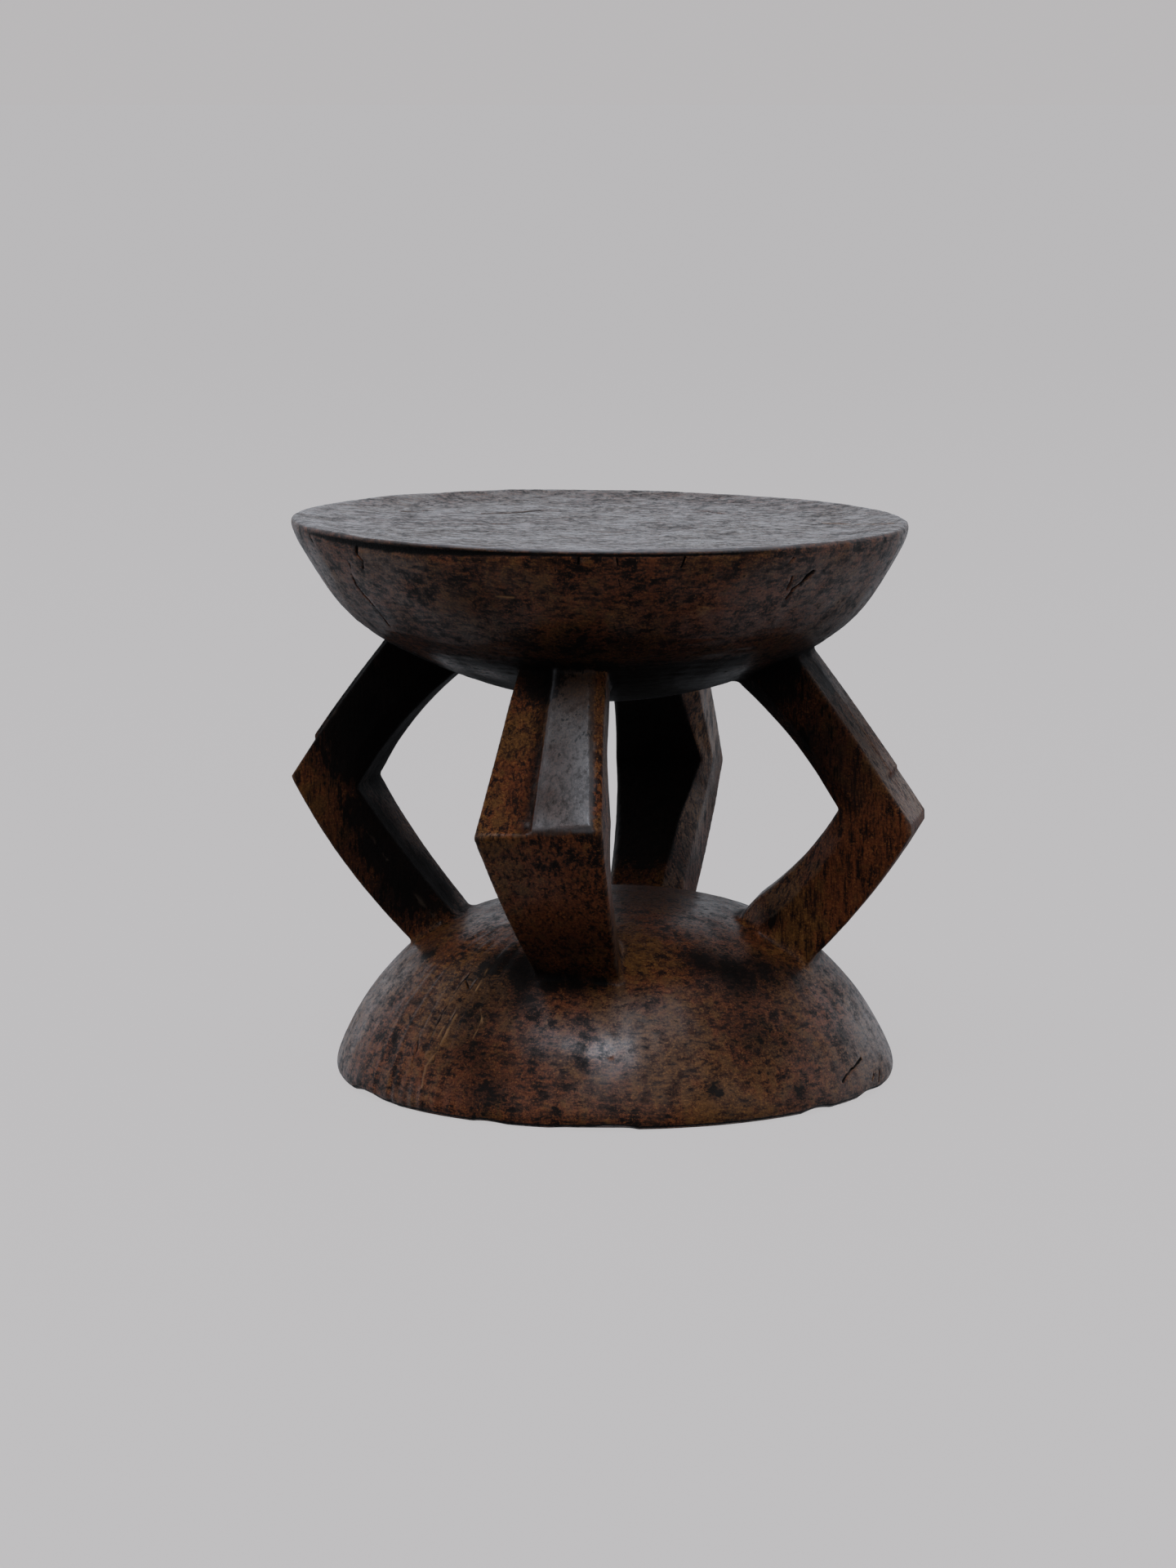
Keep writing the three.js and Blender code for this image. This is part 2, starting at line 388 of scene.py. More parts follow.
def leg_corner(shape, column, depth, row):
    """Where one corner of the divided blank goes on a leg of that shape."""
    ridge_end = shape["ridge_end"]
    rows = [("foot", part) for part in LOWER_PARTS]
    rows += [("seat", part) for part in (0, ridge_end - RIDGE_FADE, ridge_end, *UPPER_PARTS)]
    end, part = rows[row]
    place = part if end == "seat" else 0
    left = size_at(RIDGE_LEFT, "seat", place)
    right = size_at(RIDGE_RIGHT, "seat", place)
    across, relief = [
        (-1, 0),
        (left - RIDGE_SIDE, shape["band"]),
        (left, RIDGE_HEIGHT),
        (right, RIDGE_HEIGHT),
        (right + RIDGE_SIDE, 0),
        (1, 0),
    ][column]
    through = DEPTHS[depth]
    outer = face_line(shape["outer"], end, part, shape["swell"], shape["blunt"])
    inner = face_line(shape["inner"], end, part, shape["hollow"], 0)
    if depth == 0 and end == "seat" and part >= ridge_end:
        outer = outer + (outer - inner) / np.linalg.norm(outer - inner) * relief
    radius, height = outer + (inner - outer) * through
    half = size_at(shape["width"], end, part) / 2
    if depth:
        cut = shape["chamfer"]["right" if across > 0 else "left"][depth - 1]
        half -= cut * (KNEE_CHAMFER + (1 - KNEE_CHAMFER) * min(1, part * 2))
    sideways = across * half + size_at(shape["shift"], end, part)
    height += max(0, 1 - part) * shape["slant"] * across / 2
    turn = math.radians(shape["azimuth"])
    x = radius * math.cos(turn) - sideways * math.sin(turn)
    y = radius * math.sin(turn) + sideways * math.cos(turn)
    return x * MM, y * MM, height * MM


bpy.ops.object.select_all(action="DESELECT")
bpy.ops.mesh.primitive_cube_add(size=1, location=(0.5, 0.5, 0.5))
blank = bpy.context.object
bpy.ops.object.transform_apply(location=True)
bpy.ops.object.mode_set(mode="EDIT")
for axis, steps in ((0, COLUMN_STEPS), (1, DEPTH_STEPS), (2, ROW_STEPS)):
    for step in range(1, steps):
        place = [0, 0, 0]
        facing = [0, 0, 0]
        place[axis] = step / steps
        facing[axis] = 1
        bpy.ops.mesh.select_all(action="SELECT")
        bpy.ops.mesh.bisect(plane_co=place, plane_no=facing)
bpy.ops.object.mode_set(mode="OBJECT")

# Edges that run the length of the leg are rounded: widely at its corners, a little on the ridge.
steps = np.array([COLUMN_STEPS, DEPTH_STEPS, ROW_STEPS])
places = np.array([vertex.co for vertex in blank.data.vertices])
corners = [tuple(corner) for corner in np.rint(places * steps).astype(int)]
rounded = blank.data.attributes.new("bevel_weight_edge", "FLOAT", "EDGE")
for edge, weight in zip(blank.data.edges, rounded.data):
    one, other = (corners[index] for index in edge.vertices)
    if one[:2] == other[:2]:
        at_corner = one[0] in (0, COLUMN_STEPS) and one[1] in (0, DEPTH_STEPS)
        on_ridge = one[1] == 0 and min(one[2], other[2]) > len(LOWER_PARTS)
        weight.value = 1 if at_corner else RIDGE_EDGE_ROUND / LONG_EDGE_ROUND * on_ridge

legs = []
for shape in LEGS:
    leg = blank.copy()
    leg.data = blank.data.copy()
    bpy.context.collection.objects.link(leg)
    for vertex, corner in zip(leg.data.vertices, corners):
        vertex.co = leg_corner(shape, *corner)
    bpy.ops.object.select_all(action="DESELECT")
    bpy.context.view_layer.objects.active = leg
    rounding = leg.modifiers.new("rounding", "BEVEL")
    rounding.limit_method = "WEIGHT"
    rounding.width = LONG_EDGE_ROUND * MM
    rounding.segments = 3
    rounding.use_clamp_overlap = False
    bpy.ops.object.modifier_apply(modifier=rounding.name)
    legs.append(leg)
bpy.data.objects.remove(blank)

# The solids are joined into one block and its skin is drawn again at an even, fine pitch.
SKIN_PITCH = 1.25 * MM

bpy.ops.object.select_all(action="DESELECT")
for solid in (dome, *legs, seat):
    solid.select_set(True)
bpy.context.view_layer.objects.active = seat
bpy.ops.object.join()
stool = bpy.context.object
stool.name = "carved_stool"
bpy.ops.object.mode_set(mode="EDIT")
bpy.ops.mesh.select_all(action="SELECT")
bpy.ops.mesh.normals_make_consistent(inside=False)
bpy.ops.object.mode_set(mode="OBJECT")
cut_faces = stool.copy()
cut_faces.data = stool.data.copy()
bpy.context.collection.objects.link(cut_faces)
skin = stool.modifiers.new("skin", "REMESH")
skin.mode = "VOXEL"
skin.voxel_size = SKIN_PITCH
bpy.ops.object.modifier_apply(modifier=skin.name)
settled = stool.modifiers.new("settled", "SHRINKWRAP")
settled.target = cut_faces
settled.wrap_method = "NEAREST_SURFACEPOINT"
bpy.ops.object.modifier_apply(modifier=settled.name)
bpy.data.objects.remove(cut_faces)


def read_points():
    """The skin's corners as rows of x, y and z, and their normals."""
    points = np.empty(len(stool.data.vertices) * 3, np.float32)
    normals = np.empty(len(stool.data.vertices) * 3, np.float32)
    stool.data.vertices.foreach_get("co", points)
    stool.data.vertices.foreach_get("normal", normals)
    return points.reshape(-1, 3).astype(float), normals.reshape(-1, 3).astype(float)


def write_points(points):
    """Moves the skin's corners to those places."""
    stool.data.vertices.foreach_set("co", points.astype(np.float32).ravel())
    stool.data.update()


def keep_on_skin(name, values):
    """The values as an attribute of the skin that its material reads."""
    kept = stool.data.attributes.new(name, "FLOAT", "POINT")
    kept.data.foreach_set("value", np.clip(values, 0, 1).astype(np.float32))


def eased(points, rounds, weight=0.5):
    """The skin's corners drawn towards the middle of their neighbours, that many times over."""
    edges = np.empty(len(stool.data.edges) * 2, np.int32)
    stool.data.edges.foreach_get("vertices", edges)
    one, other = edges.reshape(-1, 2).T
    count = len(points)
    links = np.bincount(one, minlength=count) + np.bincount(other, minlength=count)
    for _ in range(rounds):
        middle = np.empty_like(points)
        for axis in range(points.shape[1]):
            middle[:, axis] = np.bincount(one, points[other, axis], count)
            middle[:, axis] += np.bincount(other, points[one, axis], count)
        middle /= np.maximum(links, 1)[:, None]
        points = points + (middle - points) * weight
    return points


def evened(values, rounds):
    """One value for each corner, evened out with its neighbours' that many times over."""
    return eased(values.astype(float)[:, None], rounds)[:, 0]


def lumps(points, size, seed):
    """Smooth uneven values between about -1 and 1, each lump about that size across."""
    grid = np.random.RandomState(seed).uniform(-1, 1, (32, 32, 32))
    scaled = points / size + 500.0
    cell = np.floor(scaled).astype(int)
    part = scaled - cell
    part = part * part * (3 - 2 * part)
    total = np.zeros(len(points))
    for corner in range(8):
        step = np.array([corner & 1, corner >> 1 & 1, corner >> 2 & 1])
        share = np.where(step, part, 1 - part).prod(1)
        i, j, k = ((cell + step) % 32).T
        total += share * grid[i, j, k]
    return total


def rise(value, low, high):
    """0 up to low and 1 from high on, with a smooth change between them."""
    part = np.clip((value - low) / (high - low), 0, 1)
    return part * part * (3 - 2 * part)


def within(value, low, full_from, full_to, high):
    """0 up to low and from high on, and 1 between the two places in the middle."""
    return rise(value, low, full_from) * (1 - rise(value, full_to, high))


# Every edge is rubbed round, and the inner corners where the legs meet bowl and dome are filleted.
# A corner of the skin lies in an inner corner where it is well below the same skin made rounder.
EDGE_ROUNDS = 2
ROUNDER_ROUNDS = 12
FILLET_ROUNDS = 26
FILLET_SPREAD = 8
FILLET_HOLLOW = (0.05 * MM, 0.4 * MM)
BOWL_NEAR = (0.218, 0.232)
DOME_NEAR = (0.104, 0.118)

points, _ = read_points()
write_points(eased(points, EDGE_ROUNDS))
points, normals = read_points()
hollow = -((points - eased(points, ROUNDER_ROUNDS)) * normals).sum(1)
near_solid = np.maximum(rise(points[:, 2], *BOWL_NEAR), 1 - rise(points[:, 2], *DOME_NEAR))
inner_corner = evened(rise(hollow, *FILLET_HOLLOW) * near_solid, FILLET_SPREAD)
fillet = np.clip(inner_corner * 2.2, 0, 1) * 0.5
points = eased(points, FILLET_ROUNDS, fillet[:, None])
keep_on_skin("joint", inner_corner * 2.5)

# Adze and scraper leave broad, shallow facets and a slightly uneven top and foot. The scraper's
# ripples run round the piece and the rubbed lines run up it. Sizes and depths are in millimetres,
# and places on the skin in metres and degrees.
FACET_SIZE = 55
FACET_DEPTH = 0.28
ADZE_SIZE = 19
ADZE_DEPTH = 0.16
DENT_SIZE = 8
DENT_DEPTH = 0.06
TOP_HOLLOW_SIZE = 42
TOP_HOLLOW_DEPTH = 0.35
TOP_STROKE_SIZE = 30
TOP_STROKE_DEPTH = 0.18
RIPPLE_TURN_DEG = 7.0
RIPPLE_LENGTH = 3.4
RIPPLE_DEPTH = 0.06
LOW_BOWL_RIPPLE_DEPTH = 0.14
RUBBED_TURN_DEG = 1.3
RUBBED_LENGTH = 16
RUBBED_DEPTH = 0.07
GOUGED_DEPTH = 0.40
FLAT_FOOT = 0.6

write_points(points)
points, normals = read_points()
radius = np.hypot(points[:, 0], points[:, 1])
azimuth = np.degrees(np.arctan2(points[:, 1], points[:, 0]))
height = points[:, 2]
run = height + radius
zeros = np.zeros(len(points))
ripples = np.stack([azimuth / RIPPLE_TURN_DEG, run / (RIPPLE_LENGTH * MM), zeros], 1)
rubbings = np.stack([azimuth / RUBBED_TURN_DEG, run / (RUBBED_LENGTH * MM), zeros], 1)
top_face = rise(normals[:, 2], 0.8, 0.95) * rise(height, 0.322, 0.326)
low_bowl = within(height, 0.235, 0.25, 0.276, 0.292)
gouged = within(azimuth, -160, -146, -128, -116) * (1 - rise(height, 0.085, 0.10))
cut = -FACET_DEPTH * (1 + lumps(points, FACET_SIZE * MM, 3))
cut += ADZE_DEPTH * lumps(points, ADZE_SIZE * MM, 4)
cut += DENT_DEPTH * lumps(points, DENT_SIZE * MM, 5)
cut += top_face * TOP_HOLLOW_DEPTH * lumps(points, TOP_HOLLOW_SIZE * MM, 6)
cut += top_face * TOP_STROKE_DEPTH * lumps(points * (1, 3.0, 1), TOP_STROKE_SIZE * MM, 7)
cut += (RIPPLE_DEPTH + LOW_BOWL_RIPPLE_DEPTH * low_bowl) * lumps(ripples, 1.0, 9)
cut += (RUBBED_DEPTH + GOUGED_DEPTH * gouged) * lumps(rubbings, 1.0, 10)
cut *= height >= FLAT_FOOT * MM
points += normals * cut[:, None] * MM

# The lip overhangs a narrow groove round the near left of the rim, which is widest and deepest
# midway along. Widths and depths are in millimetres.
RIM_TOP = 333.0
RIM_INSIDE = 0.176
GROOVE_WIDE = 0.9
GROOVE_EXTRA_WIDE = 1.9
GROOVE_DEEP = 0.7
GROOVE_EXTRA_DEEP = 1.0
LIP_THICK = 1.2

below_rim = RIM_TOP * MM - (height + points[:, 0] * SEAT_SLOPE)
groove_grows = within(azimuth, -168, -128, -128, -95)
groove_wide = (GROOVE_WIDE + GROOVE_EXTRA_WIDE * groove_grows) * MM
off_middle = (below_rim - groove_wide - LIP_THICK * MM) / groove_wide
groove = np.exp(-(off_middle**2)) * (radius > RIM_INSIDE) * within(azimuth, -168, -150, -70, -45)
points -= normals * (groove * (GROOVE_DEEP + GROOVE_EXTRA_DEEP * groove_grows) * MM)[:, None]
# The material paints the lip's overhang shadow into this groove.
keep_on_skin("groove", groove)

# The foot's edge is chipped and worn unevenly all round, and a painted contact shadow darkens it
# where it meets the ground.
CHIP_TURN_DEG = 9.0
CHIP_HEIGHT = 2.2
CHIP_REACH = 9
FOOT_RIM = (0.158, 0.166)
FOOT_SHADOW = (1.6 * MM, 3.2 * MM)

chips = np.stack([azimuth / CHIP_TURN_DEG, zeros, zeros], 1)
chipped = np.clip(lumps(chips, 1.0, 8) * 1.4, 0, 1)
foot_edge = rise(radius, *FOOT_RIM) * (1 - rise(height, 0, CHIP_REACH * MM))
# Painted contact shadow on the lowest few millimetres of the foot.
keep_on_skin("foot", (1 - rise(height, *FOOT_SHADOW)) * (normals[:, 2] > -0.8))
points[:, 2] += foot_edge * chipped * CHIP_HEIGHT * MM
write_points(points)

# Cracks, gouges and nicks: azimuth in degrees and height along each, its width and its depth. A
# depth below zero is a pale sliver that stands up.
LONG_CRACK = [
    (-144.3, 317), (-145.6, 311), (-146.2, 305), (-145.3, 298), (-143.7, 290), (-144.1, 280),
]
MARKS = [
    ([(-139.6, 330), (-140.2, 324), (-139.2, 320), (-140.4, 316)], 1.5, 2.0),
    ([(-145.9, 330), (-143.9, 326)], 1.0, 1.0),
    ([(-157.0, 331), (-156.2, 326), (-155.7, 321)], 1.0, 1.0),
    (LONG_CRACK, 1.2, 2.2),
    ([(-47.6, 316), (-49.4, 310), (-51.1, 306.8), (-51.8, 301)], 1.8, 1.5),
    ([(-53.5, 326), (-54.4, 322.6)], 1.2, 1.0),
    ([(-52.3, 314), (-52.5, 306.6)], 1.2, 1.0),
    ([(-94.0, 330), (-94.1, 325.5)], 1.1, 1.6),
    ([(-87.3, 330), (-87.2, 324.0)], 1.0, 1.4),
    ([(-75.2, 329), (-75.8, 323.4)], 1.2, 1.6),
    ([(-98.2, 326.7), (-98.3, 320)], 0.8, 0.8),
    ([(-87.4, 321.6), (-86.9, 315), (-86.6, 309.4)], 0.8, 0.8),
    ([(-26.7, 21.6), (-31.0, 19.0), (-35.3, 16.3), (-36.9, 13.4)], 1.3, 1.3),
    ([(-20.3, 11.0), (-22.2, 6.0)], 1.1, 1.2),
    ([(-24.2, 11.0), (-25.6, 8.0)], 1.0, 1.0),
    ([(-133.9, 79.6), (-134.6, 61.3), (-134.9, 45.2), (-134.7, 30.6), (-133.1, 16.5)], 1.8, 0.9),
    ([(-129.5, 77.4), (-130.9, 60.2), (-131.5, 42.8), (-131.7, 29.6)], 1.6, 0.7),
    ([(-138.5, 79.3), (-138.7, 62.1), (-138.5, 43.8), (-137.2, 27.3)], 1.6, 0.7),
    ([(-90.4, 39.7), (-89.2, 33.3)], 0.8, 0.6),
    ([(-76.9, 94.5), (-76.8, 92.6)], 1.2, 0.8),
    ([(-134.2, 74.1), (-129.6, 66.9)], 1.0, 1.0),
    ([(-129.9, 12.6), (-129.5, 9.4)], 3.0, -0.4),
    ([(-130.3, 55.7), (-131.0, 39.1), (-133.5, 26.2), (-132.5, 15.4)], 1.8, -0.35),
    ([(-128.8, 81.5), (-128.3, 75.1), (-128.1, 68.5)], 1.4, -0.3),
    ([(-130.6, 64.1), (-131.4, 53.3), (-132.7, 42.4), (-135.1, 26.0)], 1.4, -0.3),
    ([(-122.4, 55.3), (-122.7, 50.2), (-122.9, 45.5)], 1.3, -0.3),
    ([(-110.5, 305.6), (-106.8, 305.1)], 1.1, -0.15),
    ([(-170.4, 70.0), (-171.4, 62.0)], 1.3, -0.2),
    ([(-124.0, 60.0), (-121.0, 50.0)], 1.0, -0.2),
]
# The same on the seat's top: azimuth and radius along each, its width and its depth.
TOP_MARKS = [
    ([(136, 99), (123.5, 95), (112.0, 99)], 3.4, 0.9),
    ([(172, 75), (165, 57)], 3.0, 0.7),
    ([(10.6, 135), (4.0, 152), (-3.4, 174)], 1.4, -0.3),
    ([(150, 140), (143, 128)], 2.0, 0.6),
    ([(62, 120), (48, 112)], 2.0, 0.6),
]
# In millimetres: what is above the first height is the bowl's, a section's outside starts at that
# radius, and a mark wanders from its line by that much and is darkest at that depth.
BOWL_ABOVE = 200
OUTSIDE_FROM = 60
TOP_MARK_SINK = 0.3
MARK_MARGIN = 2.5
WANDER_SIZE = 5
WANDER_DEPTH = 0.7
RAGGED_SIZE = 7
DARKEST_DEPTH = 1.2


def section_radius(side, height):
    """The radius, at a height, of the outside that a section draws. Its flat middle is left out."""
    outside = sorted((at, radius) for radius, at in side if radius > OUTSIDE_FROM)
    return np.interp(height, [at for at, _ in outside], [radius for _, radius in outside])


def on_side(turn_deg, height):
    """The place on the bowl's or the dome's side in that direction and at that height."""
    side = BOWL_SIDE if height > BOWL_ABOVE else DOME_SIDE
    reach = section_radius(side, height)
    turn = math.radians(turn_deg)
    return reach * math.cos(turn), reach * math.sin(turn), height


def on_dish(turn_deg, reach):
    """The place on the seat's top in that direction and at that distance from the middle."""
    inside = sorted(DISH)
    turn = math.radians(turn_deg)
    x = reach * math.cos(turn)
    level = np.interp(reach, [radius for radius, _ in inside], [at for _, at in inside])
    return x, reach * math.sin(turn), level - x * SEAT_SLOPE - TOP_MARK_SINK


def line_gap(points, line):
    """How far each point is from a line of straight stretches."""
    nearest = np.full(len(points), np.inf)
    for start, end in zip(line, line[1:]):
        along = end - start
        part = np.clip(((points - start) @ along) / (along @ along), 0, 1)
        gap = np.linalg.norm(points - start - part[:, None] * along, axis=1)
        nearest = np.minimum(nearest, gap)
    return nearest


marks = []
for placed, rows in ((on_side, MARKS), (on_dish, TOP_MARKS)):
    for line, wide, deep in rows:
        places = np.array([placed(*place) for place in line]) * MM
        marks.append((places, wide * MM, deep * MM))

# The skin is divided finer where a mark runs, and then carved.
points, _ = read_points()
near_mark = np.zeros(len(points), bool)
for places, wide, _ in marks:
    near_mark |= line_gap(points, places) < wide + MARK_MARGIN * MM
bpy.ops.object.mode_set(mode="EDIT")
bpy.ops.mesh.select_mode(type="VERT")
bpy.ops.mesh.select_all(action="DESELECT")
bpy.ops.object.mode_set(mode="OBJECT")
stool.data.vertices.foreach_set("select", near_mark)
bpy.ops.object.mode_set(mode="EDIT")
bpy.ops.mesh.subdivide(number_cuts=3)
bpy.ops.mesh.select_all(action="SELECT")
bpy.ops.mesh.quads_convert_to_tris()
bpy.ops.object.mode_set(mode="OBJECT")

points, normals = read_points()
wander = np.stack([lumps(points, WANDER_SIZE * MM, seed) for seed in (11, 12, 13)], 1)
wander *= WANDER_DEPTH * MM
ragged = 0.75 + 0.35 * lumps(points, RAGGED_SIZE * MM, 14)
crack = np.zeros(len(points))
pale = np.zeros(len(points))
for places, wide, deep in marks:
    cut = np.clip(1 - line_gap(points + wander, places) / (wide * ragged), 0, 1)
    points -= normals * (cut * deep)[:, None]
    crack = np.maximum(crack, cut * deep / (DARKEST_DEPTH * MM))
    pale = np.maximum(pale, cut * (deep < 0))
keep_on_skin("crack", crack)
keep_on_skin("pale", pale)
write_points(points)

# The whole block leans a little to its left, and its skin is thinned where it is plain. The skin
# stays within the block that it was cut from.
SKIN_TRIANGLES = 190000

stool.data.transform(Matrix.Shear("XY", 4, (-BLOCK_SLOPE, 0)))
thinning = stool.modifiers.new("thinning", "DECIMATE")
thinning.ratio = min(1, SKIN_TRIANGLES / len(stool.data.polygons))
bpy.ops.object.modifier_apply(modifier=thinning.name)
bpy.ops.object.shade_smooth()
points, _ = read_points()
low, high = (np.array(corner) for corner in cad_box)
write_points(np.clip(points, low, high))

# What handling and smoke left on the surface, and painted shade, as patches on the block while it
# stands upright: the middle, the size and the strength of each. The first are reddish where the soot
# is rubbed off.
RUSTY = [
    ((-0.177, 0.010, 0.172), 0.030, 1.0), ((-0.150, 0.005, 0.125), 0.030, 0.9),
    ((0.178, -0.030, 0.165), 0.040, 0.8), ((0.150, -0.040, 0.120), 0.045, 0.8),
    ((0.140, -0.040, 0.215), 0.040, 0.9), ((-0.020, -0.150, 0.285), 0.040, 0.5),
    ((-0.060, -0.160, 0.215), 0.028, 1.0), ((-0.050, -0.185, 0.190), 0.028, 0.8),
    ((-0.090, -0.135, 0.020), 0.040, 0.6), ((0.010, -0.120, 0.080), 0.040, 0.6),
    ((0.110, -0.040, 0.095), 0.022, 1.0), ((-0.100, 0.010, 0.095), 0.025, 1.0),
    ((0.070, -0.150, 0.020), 0.050, 0.5), ((0.030, 0.100, 0.105), 0.030, 0.9),
    ((0.056, -0.156, 0.298), 0.016, 0.9), ((0.090, -0.120, 0.262), 0.040, 0.6),
    ((-0.030, -0.130, 0.120), 0.030, 0.5), ((-0.071, -0.105, 0.070), 0.025, 0.9),
    ((-0.068, -0.159, 0.143), 0.030, 0.9), ((-0.038, -0.150, 0.125), 0.035, 0.9),
    ((-0.160, 0.000, 0.150), 0.040, 1.0),
]
# Golden where the wood is rubbed bare, mostly round the joints of legs and dome.
GOLDEN = [
    ((-0.112, -0.006, 0.079), 0.013, 1.0), ((-0.098, -0.008, 0.088), 0.012, 0.9),
    ((-0.100, -0.060, 0.075), 0.026, 0.8), ((-0.095, -0.085, 0.068), 0.026, 0.9),
    ((-0.105, -0.108, 0.040), 0.018, 0.8), ((0.098, -0.046, 0.089), 0.012, 1.0),
    ((0.080, -0.038, 0.099), 0.012, 1.0), ((0.118, -0.036, 0.075), 0.012, 1.0),
    ((0.015, -0.110, 0.084), 0.026, 0.9), ((-0.003, -0.121, 0.077), 0.018, 0.8),
    ((-0.040, -0.160, 0.017), 0.020, 0.7), ((-0.091, -0.136, 0.019), 0.020, 0.6),
    ((-0.066, -0.145, 0.232), 0.022, 0.9), ((-0.070, -0.165, 0.200), 0.024, 0.9),
    ((0.056, -0.157, 0.298), 0.011, 1.1), ((0.001, -0.164, 0.295), 0.030, 0.6),
    ((0.010, -0.164, 0.294), 0.018, 1.0), ((0.030, 0.100, 0.105), 0.016, 0.9),
    ((0.140, -0.044, 0.140), 0.030, 0.5), ((0.140, -0.050, 0.215), 0.026, 0.6),
    ((-0.150, 0.010, 0.195), 0.016, 0.6),
]
# Black: soot stains on the dome, and painted shade on the legs' sides that the bowl shades,
# under the bowl and under the front leg's foot.
SOOT_AND_SHADE_PATCHES = [
    ((0.052, -0.096, 0.084), 0.020, 0.85), ((0.072, -0.096, 0.078), 0.022, 0.90),
    ((0.090, -0.082, 0.077), 0.018, 0.85), ((0.106, -0.068, 0.072), 0.014, 0.75),
    ((0.085, -0.130, 0.050), 0.030, 0.62), ((0.056, -0.153, 0.021), 0.008, 0.80),
    ((0.107, -0.127, 0.014), 0.009, 0.75), ((0.135, -0.077, 0.036), 0.010, 0.70),
    ((-0.050, -0.104, 0.081), 0.022, 1.05), ((-0.066, -0.092, 0.083), 0.022, 0.90),
    ((-0.052, -0.120, 0.067), 0.014, 0.75), ((-0.081, -0.113, 0.058), 0.020, 0.64),
    ((-0.079, -0.130, 0.038), 0.020, 0.62), ((-0.045, -0.145, 0.041), 0.009, 0.72),
    ((-0.110, -0.043, 0.078), 0.010, 0.75), ((-0.074, -0.144, 0.014), 0.022, 0.68),
    ((0.100, -0.040, 0.255), 0.036, 1.1), ((0.118, -0.036, 0.232), 0.026, 1.1),
    ((0.118, -0.050, 0.208), 0.016, 0.9), ((-0.105, -0.005, 0.250), 0.045, 1.4),
    ((-0.130, 0.000, 0.222), 0.045, 1.4), ((-0.152, 0.000, 0.195), 0.030, 1.2),
    ((-0.109, 0.017, 0.221), 0.030, 1.4), ((-0.131, 0.035, 0.190), 0.035, 1.4),
    ((-0.138, 0.002, 0.160), 0.028, 1.2), ((-0.128, 0.000, 0.138), 0.030, 1.3),
    ((-0.120, 0.000, 0.118), 0.030, 1.2), ((-0.112, 0.014, 0.108), 0.028, 1.2),
    ((-0.104, 0.000, 0.100), 0.016, 1.0), ((-0.030, -0.110, 0.252), 0.024, 1.4),
    ((-0.035, -0.128, 0.253), 0.015, 1.4), ((0.096, -0.045, 0.100), 0.009, 0.85),
    ((0.026, 0.090, 0.235), 0.045, 1.6), ((0.028, 0.112, 0.200), 0.050, 1.6),
    ((0.032, 0.138, 0.165), 0.045, 1.6), ((0.028, 0.118, 0.130), 0.045, 1.5),
    ((0.020, 0.000, 0.230), 0.120, 1.4), ((-0.036, -0.117, 0.076), 0.010, 0.95),
    ((-0.022, -0.120, 0.075), 0.010, 0.95), ((-0.008, -0.120, 0.076), 0.009, 0.90),
    ((-0.046, -0.145, 0.280), 0.020, 0.74), ((-0.016, -0.146, 0.276), 0.022, 0.78),
    ((0.014, -0.150, 0.279), 0.018, 0.74),
]
# Painted shade, dark and without shine: mostly on the legs' sides that the bowl shades, under the
# bowl and under the front leg's foot; a few patches on the dome are darker wood.
SHADED = [
    ((-0.071, -0.112, 0.064), 0.028, 0.60), ((-0.080, -0.130, 0.034), 0.026, 0.50),
    ((0.072, -0.098, 0.076), 0.028, 0.55), ((0.085, -0.130, 0.048), 0.026, 0.45),
    ((-0.152, 0.000, 0.138), 0.042, 0.85), ((-0.168, 0.004, 0.166), 0.026, 0.60),
    ((-0.066, -0.148, 0.296), 0.024, 0.50), ((0.030, -0.152, 0.280), 0.026, 0.50),
    ((-0.026, -0.136, 0.098), 0.028, 0.75), ((-0.046, -0.130, 0.096), 0.026, 0.75),
    ((-0.010, -0.140, 0.104), 0.022, 0.65), ((-0.062, -0.158, 0.205), 0.030, 0.30),
    ((0.132, -0.050, 0.130), 0.035, 0.35), ((0.096, -0.046, 0.103), 0.016, 0.60),
    ((-0.110, -0.005, 0.245), 0.050, 1.0), ((-0.145, 0.000, 0.200), 0.050, 1.0),
    ((-0.150, 0.002, 0.150), 0.040, 0.8), ((-0.125, -0.003, 0.115), 0.040, 0.8),
    ((0.100, -0.040, 0.245), 0.040, 0.8), ((0.118, -0.038, 0.205), 0.022, 0.8),
    ((0.128, -0.048, 0.200), 0.045, 0.95), ((-0.133, 0.022, 0.150), 0.026, 1.0),
    ((-0.117, 0.018, 0.126), 0.026, 1.0), ((-0.100, 0.019, 0.106), 0.022, 1.0),
    ((-0.131, 0.035, 0.190), 0.040, 1.0), ((-0.128, 0.002, 0.110), 0.030, 0.9),
    ((0.138, -0.034, 0.172), 0.018, 0.8), ((0.030, 0.115, 0.180), 0.090, 0.8),
    ((-0.045, -0.165, 0.185), 0.014, 0.7), ((-0.010, -0.125, 0.095), 0.030, 0.6),
    ((-0.060, -0.118, 0.085), 0.028, 0.6), ((-0.020, -0.122, 0.084), 0.018, 0.85),
    ((-0.042, -0.122, 0.088), 0.014, 0.70), ((0.002, -0.130, 0.088), 0.014, 0.70),
]
# Places under the bowl beside the legs where the soot and painted shade are weaker, so its tool marks
# show.
TOOL_MARKED = [
    ((-0.095, -0.072, 0.255), 0.022, 1.0), ((-0.068, -0.085, 0.250), 0.020, 0.8),
    ((0.080, -0.072, 0.248), 0.022, 1.0),
]
